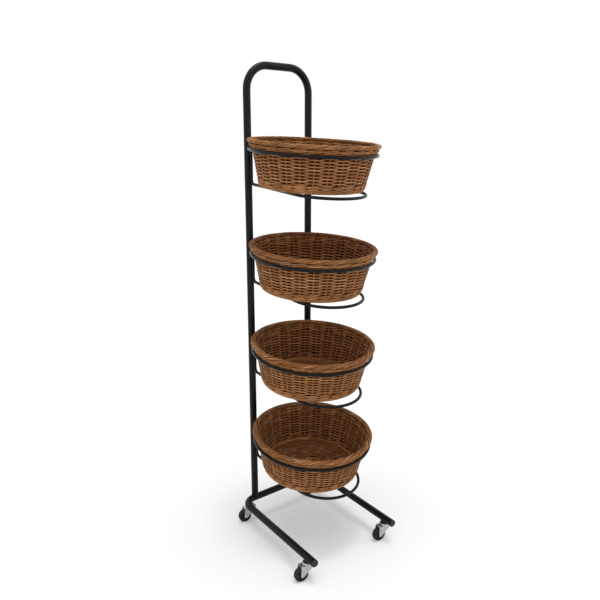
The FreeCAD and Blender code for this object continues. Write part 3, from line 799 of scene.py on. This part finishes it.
def ring_foot(rods, foot, tube_radius, weld):
    """Bead round the saddle where an upright stands on the back bar."""
    steps = 120
    slimness = 0.85
    ripples = 30
    ripple_share = 0.06
    theta = full_round(steps)
    rise = np.maximum(tube_radius * np.abs(np.cos(theta)), weld.foot_gap)
    radius = weld.bead_radius * (slimness + ripple_share * np.cos(ripples * theta))
    path = foot + around(theta) * tube_radius + lifted(rise)
    rods.add(path, around(theta), radius, radius, BEAD_SIDES, BEAD_PAINTED_SHADING, MIDDLE_TONE, closed=True)


class Shader:
    """Small helper that builds a node material."""

    def __init__(self, name):
        self.material = bpy.data.materials.new(name)
        self.material.use_nodes = True
        self.tree = self.material.node_tree
        self.surface = self.tree.nodes["Principled BSDF"]

    def node(self, kind, **options):
        """New node with its options set."""
        made = self.tree.nodes.new(kind)
        for key, value in options.items():
            setattr(made, key, value)
        return made

    def link(self, source, target):
        """Joins an output to an input."""
        self.tree.links.new(source, target)

    def feed(self, source, name):
        """Joins an output to a named input of the surface."""
        self.link(source, self.surface.inputs[name])

    def set(self, name, value):
        """Sets a named input of the surface."""
        self.surface.inputs[name].default_value = value

    def attribute(self, name, output):
        """Output of a mesh attribute."""
        return self.node("ShaderNodeAttribute", attribute_name=name).outputs[output]

    def noise(self, vector, scale, detail, stretch=(1, 1, 1)):
        """Noise on a vector that is first stretched."""
        scaled = self.node("ShaderNodeVectorMath", operation="MULTIPLY")
        self.link(vector, scaled.inputs[0])
        scaled.inputs[1].default_value = stretch
        noise = self.node("ShaderNodeTexNoise")
        noise.inputs["Scale"].default_value = scale
        noise.inputs["Detail"].default_value = detail
        self.link(scaled.outputs[0], noise.inputs["Vector"])
        return noise.outputs["Fac"]

    def ramp(self, value, low, high, to_low=0.0, to_high=1.0):
        """Value moved smoothly from one range to another."""
        node = self.node("ShaderNodeMapRange", interpolation_type="SMOOTHSTEP")
        self.link(value, node.inputs["Value"])
        node.inputs["From Min"].default_value = low
        node.inputs["From Max"].default_value = high
        node.inputs["To Min"].default_value = to_low
        node.inputs["To Max"].default_value = to_high
        return node.outputs["Result"]

    def blend(self, factor, a, b):
        """Mix of two colours by a socket; each is a socket or a colour."""
        node = self.node("ShaderNodeMix", data_type="RGBA")
        colour_inputs = [socket for socket in node.inputs if socket.type == "RGBA"]
        self.link(factor, node.inputs["Factor"])
        for socket, value in zip(colour_inputs, (a, b)):
            if isinstance(value, tuple):
                socket.default_value = (*value, 1)
            else:
                self.link(value, socket)
        return next(socket for socket in node.outputs if socket.type == "RGBA")

    def bump(self, height, strength, distance):
        """Bump on the surface's normal."""
        node = self.node("ShaderNodeBump")
        node.inputs["Strength"].default_value = strength
        node.inputs["Distance"].default_value = distance
        self.link(height, node.inputs["Height"])
        self.feed(node.outputs[0], "Normal")

    def place(self):
        """Coordinates of the object's own frame."""
        return self.node("ShaderNodeTexCoord").outputs["Object"]


def tinted(colour, tint):
    """Colour with each channel multiplied."""
    return tuple(channel * share for channel, share in zip(colour, tint))


def scaled_colour(colour, share):
    """Lighter or darker colour."""
    return tuple(channel * share for channel in colour)


def willow_material(colours):
    """Stained willow: grain along each rod and its own tone per rod, with painted shade between and behind
    the rods and painted light on their outward faces.
    """
    warm_tint = (1.10, 0.90, 0.74)
    pale_tint = (1.75, 1.95, 2.30)
    blotch_share = 0.74
    fibre_share = 0.58
    shader = Shader("stained_willow_painted_shade")
    light = tuple(colours.willow_light)
    dark = tuple(colours.willow_painted_shade)
    painted_shading = shader.attribute("painted_shading", "Fac")
    tone = shader.attribute("tone", "Fac")
    grain = shader.attribute("grain", "Vector")
    fibres = shader.noise(grain, scale=1.0, detail=4.0, stretch=(55.0, 2600.0, 2600.0))
    blotches = shader.noise(grain, scale=1.0, detail=2.0, stretch=(16.0, 160.0, 160.0))
    blotched = shader.ramp(blotches, 0.35, 0.70)
    lined = shader.ramp(fibres, 0.30, 0.75, to_low=0.0, to_high=0.55)
    # Painted light and shade: the willow colour on lit faces, the painted shade colour between and behind the
    # rods
    lit_share = shader.ramp(painted_shading, 0.10, 0.85)
    body = shader.blend(tone, tinted(light, warm_tint), tinted(light, pale_tint))
    body = shader.blend(blotched, body, scaled_colour(light, blotch_share))
    body = shader.blend(lined, body, scaled_colour(light, fibre_share))
    shader.feed(shader.blend(lit_share, dark, body), "Base Color")
    shader.feed(shader.ramp(fibres, 0.2, 0.8, to_low=0.42, to_high=0.62), "Roughness")
    shader.set("Specular IOR Level", 0.04)
    shader.bump(fibres, strength=0.5, distance=0.0004)
    return shader.material


def coat_material(colours):
    """Satin powder coat with a fine orange peel."""
    darker = 0.8
    lighter = 1.25
    shader = Shader("satin_black_coat")
    coat = tuple(colours.coat)
    place = shader.place()
    peel = shader.noise(place, scale=420.0, detail=3.0)
    cloud = shader.noise(place, scale=9.0, detail=2.0)
    tint = shader.blend(cloud, scaled_colour(coat, darker), scaled_colour(coat, lighter))
    shader.feed(tint, "Base Color")
    shader.feed(shader.ramp(peel, 0.2, 0.8, to_low=0.24, to_high=0.36), "Roughness")
    shader.set("Specular IOR Level", 0.165)
    shader.bump(peel, strength=0.25, distance=0.0003)
    return shader.material


def zinc_material(colours):
    """Bright zinc plate with faint cloudy patches and drawn lines."""
    darker = 0.84
    lighter = 1.12
    shader = Shader("bright_zinc")
    zinc = tuple(colours.zinc)
    place = shader.place()
    patches = shader.noise(place, scale=160.0, detail=2.0)
    lines = shader.noise(place, scale=1.0, detail=2.0, stretch=(300.0, 300.0, 2400.0))
    tint = shader.blend(patches, scaled_colour(zinc, darker), scaled_colour(zinc, lighter))
    shader.feed(tint, "Base Color")
    shader.feed(shader.ramp(patches, 0.25, 0.75, to_low=0.26, to_high=0.42), "Roughness")
    shader.set("Metallic", 1.0)
    shader.bump(lines, strength=0.12, distance=0.0002)
    return shader.material


def moulded_material(name, colour, roughness, scale):
    """Moulded rubber or plastic with a fine matt grain and a little dust."""
    dust_share = 1.8
    roughness_swing = 0.08
    shader = Shader(name)
    place = shader.place()
    grain = shader.noise(place, scale, detail=3.0)
    dust = shader.noise(place, scale=45.0, detail=3.0)
    dusty = shader.ramp(dust, 0.45, 0.8)
    smoothest = roughness - roughness_swing
    roughest = roughness + roughness_swing
    matt = shader.ramp(grain, 0.2, 0.8, to_low=smoothest, to_high=roughest)
    shader.feed(shader.blend(dusty, tuple(colour), scaled_colour(colour, dust_share)), "Base Color")
    shader.feed(matt, "Roughness")
    shader.set("Specular IOR Level", 0.25)
    shader.bump(grain, strength=0.3, distance=0.0002)
    return shader.material


def paint_nodes(prefixes, material):
    """Gives CAD nodes their finish."""
    for name, node in frame["nodes"].items():
        if name.startswith(prefixes):
            node.data.materials.clear()
            node.data.materials.append(material)


def tier_matrix(tier):
    """Place of a tier: origin at the centre of its hoop, Z along the basket's axis."""
    low, high = (Vector(corner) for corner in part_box(f"basket_hoop_tier_{tier}"))
    axis = Vector(LIFT_AXES[f"basket_tier_{tier}"]).normalized()
    side = Vector((1, 0, 0))
    turn = Matrix((side, axis.cross(side), axis)).transposed()
    return Matrix.Translation((low + high) / 2) @ turn.to_4x4()


def seat_piece(rods, tier, turn, name, node):
    """Builds a woven piece that stands for its CAD node and moves with its basket."""
    matrix = tier_matrix(tier) @ Matrix.Rotation(turn, 4, "Z")
    piece = rods.build(name, matrix, bpy.data.materials["stained_willow_painted_shade"])
    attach(piece, f"basket_tier_{tier}")
    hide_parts(node)


def seen_directly(tree):
    """One for rays from the camera, a reflection or a transmission, and otherwise none."""
    path = tree.nodes.new("ShaderNodeLightPath")
    result = path.outputs["Is Camera Ray"]
    for kind in ("Is Glossy Ray", "Is Transmission Ray"):
        either = tree.nodes.new("ShaderNodeMath")
        either.operation = "MAXIMUM"
        tree.links.new(result, either.inputs[0])
        tree.links.new(path.outputs[kind], either.inputs[1])
        result = either.outputs[0]
    return result


def lay_floor(stage):
    """Pale floor that keeps the shadow and meets a white background."""
    shader = Shader("studio_floor")
    shader.set("Base Color", (*stage.floor_colour, 1))
    shader.set("Roughness", 1.0)
    shader.set("Specular IOR Level", 0.0)
    shader.set("Emission Color", (1, 1, 1, 1))
    glow = shader.node("ShaderNodeMath", operation="MULTIPLY")
    shader.link(seen_directly(shader.tree), glow.inputs[0])
    glow.inputs[1].default_value = stage.floor_glow
    shader.feed(glow.outputs[0], "Emission Strength")
    half = stage.floor_half
    corners = [(-half, -half, 0), (half, -half, 0), (half, half, 0), (-half, half, 0)]
    mesh = bpy.data.meshes.new("studio_floor")
    mesh.from_pydata(corners, [], [(0, 1, 2, 3)])
    mesh.materials.append(shader.material)
    floor = bpy.data.objects.new("studio_floor", mesh)
    bpy.context.scene.collection.objects.link(floor)


def light_world(stage):
    """Even studio light; the camera and reflections see a white background."""
    world = bpy.data.worlds.new("studio")
    bpy.context.scene.world = world
    world.use_nodes = True
    tree = world.node_tree
    strength = tree.nodes.new("ShaderNodeMapRange")
    tree.links.new(seen_directly(tree), strength.inputs["Value"])
    strength.inputs["To Min"].default_value = stage.ambient
    strength.inputs["To Max"].default_value = 1.0
    background = tree.nodes["Background"]
    background.inputs["Color"].default_value = (1, 1, 1, 1)
    tree.links.new(strength.outputs["Result"], background.inputs["Strength"])


def hang_light(name, direction, strength, spread):
    """Soft light from far away; its lamp stands in the direction that it comes from."""
    lamp_distance = 3
    light = bpy.data.lights.new(name, "SUN")
    light.energy = strength
    light.angle = spread
    lamp = bpy.data.objects.new(name, light)
    lamp.location = Vector(direction) * lamp_distance
    lamp.rotation_euler = (-Vector(direction)).to_track_quat("-Z", "Y").to_euler()
    bpy.context.scene.collection.objects.link(lamp)


def set_camera(stage):
    """Camera at the photograph's place and angle."""
    data = bpy.data.cameras.new("camera")
    data.lens = stage.camera_lens
    data.sensor_width = stage.camera_sensor
    camera = bpy.data.objects.new("camera", data)
    camera.location = stage.camera_place
    camera.rotation_euler = (math.pi / 2 - stage.camera_pitch, 0, -stage.camera_yaw)
    bpy.context.scene.collection.objects.link(camera)
    bpy.context.scene.camera = camera


class DISPLAY_OT_weave_walls(Operator):
    """Weave the wall of every basket on its stakes"""

    bl_idname = "display.weave_walls"
    bl_label = "Weave the walls"

    def execute(self, context):
        shape = context.scene.display_basket
        weave = context.scene.display_weave
        willow_material(context.scene.display_colours)
        for tier in TIERS:
            rods = RodMesh()
            weave_wall(rods, shape, weave, np.random.default_rng(WALL_SEED + tier))
            turn = FULL_TURN * (WALL_TURN + tier) / weave.stakes
            seat_piece(rods, tier, turn, f"woven_wall_tier_{tier}", f"basket_wall_tier_{tier}")
        return {"FINISHED"}


class DISPLAY_OT_weave_floors(Operator):
    """Weave the round floor of every basket over its fan of sticks"""

    bl_idname = "display.weave_floors"
    bl_label = "Weave the floors"

    def execute(self, context):
        shape = context.scene.display_basket
        weave = context.scene.display_weave
        for tier in TIERS:
            rods = RodMesh()
            weave_floor(rods, shape, weave, np.random.default_rng(FLOOR_SEED + tier))
            turn = FULL_TURN * (FLOOR_TURN + tier) / weave.floor_sticks
            seat_piece(rods, tier, turn, f"woven_floor_tier_{tier}", f"basket_floor_tier_{tier}")
        return {"FINISHED"}


class DISPLAY_OT_lay_borders(Operator):
    """Lay the thick rolled border on the rim of every basket"""

    bl_idname = "display.lay_borders"
    bl_label = "Lay the borders"

    def execute(self, context):
        shape = context.scene.display_basket
        weave = context.scene.display_weave
        for tier in TIERS:
            rods = RodMesh()
            lay_border(rods, shape, weave, np.random.default_rng(BORDER_SEED + tier))
            turn = BORDER_TURN * tier
            seat_piece(rods, tier, turn, f"rolled_border_tier_{tier}", f"basket_rim_tier_{tier}")
        return {"FINISHED"}


class DISPLAY_OT_finish_rack(Operator):
    """Powder-coat the tubes, wires and sockets, and finish the plugs"""

    bl_idname = "display.finish_rack"
    bl_label = "Finish the rack"

    def execute(self, context):
        colours = context.scene.display_colours
        coated = ("back_frame", "base_tube", "caster_socket", "basket_cradle", "basket_hoop")
        plastic = moulded_material("plug_plastic", colours.plastic, roughness=0.48, scale=900.0)
        paint_nodes(coated, coat_material(colours))
        paint_nodes("leg_plug", plastic)
        return {"FINISHED"}


class DISPLAY_OT_lay_welds(Operator):
    """Lay the beads that weld the cradle wires to the uprights and the uprights to the base"""

    bl_idname = "display.lay_welds"
    bl_label = "Lay the welds"

    def execute(self, context):
        rods = RodMesh()
        for side in (-1, 1):
            weld_upright(rods, side, context.scene.display_welds)
        beads = rods.build("weld_beads", Matrix.Identity(4), bpy.data.materials["satin_black_coat"])
        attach(beads, RACK)
        return {"FINISHED"}


class DISPLAY_OT_finish_casters(Operator):
    """Plate the forks and finish the wheels"""

    bl_idname = "display.finish_casters"
    bl_label = "Finish the casters"

    def execute(self, context):
        colours = context.scene.display_colours
        plastic = moulded_material("core_plastic", colours.plastic, roughness=0.45, scale=900.0)
        rubber = moulded_material("tyre_rubber", colours.rubber, roughness=0.58, scale=700.0)
        paint_nodes(("caster_stem", "caster_fork", "caster_axle"), zinc_material(colours))
        paint_nodes("wheel_core", plastic)
        paint_nodes("wheel_tyre", rubber)
        return {"FINISHED"}


class DISPLAY_OT_set_stage(Operator):
    """Set the floor, the light and the camera"""

    bl_idname = "display.set_stage"
    bl_label = "Set the stage"

    def execute(self, context):
        stage = context.scene.display_stage
        lay_floor(stage)
        light_world(stage)
        hang_light("spot", stage.spot_from, stage.spot_strength, stage.spot_spread)
        hang_light("softbox", stage.softbox_from, stage.softbox_strength, stage.softbox_spread)
        hang_light("right_light", stage.right_from, stage.side_strength, stage.side_spread)
        hang_light("left_light", stage.left_from, stage.side_strength, stage.side_spread)
        set_camera(stage)
        context.scene.view_settings.view_transform = "Standard"
        return {"FINISHED"}


class DISPLAY_PT_build(Panel):
    """Lists the steps that dress the display"""

    bl_label = "Wicker display"
    bl_space_type = "VIEW_3D"
    bl_region_type = "UI"
    bl_category = "Display"

    def draw(self, context):
        for step in STEPS:
            self.layout.operator(step.bl_idname)
        for group in GROUPS:
            box = self.layout.box()
            owner = getattr(context.scene, group)
            for name in owner.__annotations__:
                box.prop(owner, name)


GROUPS = {
    "display_basket": BasketShape,
    "display_weave": WeaveSettings,
    "display_welds": WeldSettings,
    "display_colours": FinishColours,
    "display_stage": StageSettings,
}
STEPS = [
    DISPLAY_OT_weave_walls,
    DISPLAY_OT_weave_floors,
    DISPLAY_OT_lay_borders,
    DISPLAY_OT_finish_rack,
    DISPLAY_OT_lay_welds,
    DISPLAY_OT_finish_casters,
    DISPLAY_OT_set_stage,
]


def register():
    for kind in [*GROUPS.values(), *STEPS, DISPLAY_PT_build]:
        bpy.utils.register_class(kind)
    for name, kind in GROUPS.items():
        setattr(bpy.types.Scene, name, PointerProperty(type=kind))


def unregister():
    for name in GROUPS:
        delattr(bpy.types.Scene, name)
    for kind in reversed([*GROUPS.values(), *STEPS, DISPLAY_PT_build]):
        bpy.utils.unregister_class(kind)


def main():
    register()
    bpy.ops.display.weave_walls()
    bpy.ops.display.weave_floors()
    bpy.ops.display.lay_borders()
    bpy.ops.display.finish_rack()
    bpy.ops.display.lay_welds()
    bpy.ops.display.finish_casters()
    bpy.ops.display.set_stage()


if __name__ == "__main__":
    main()
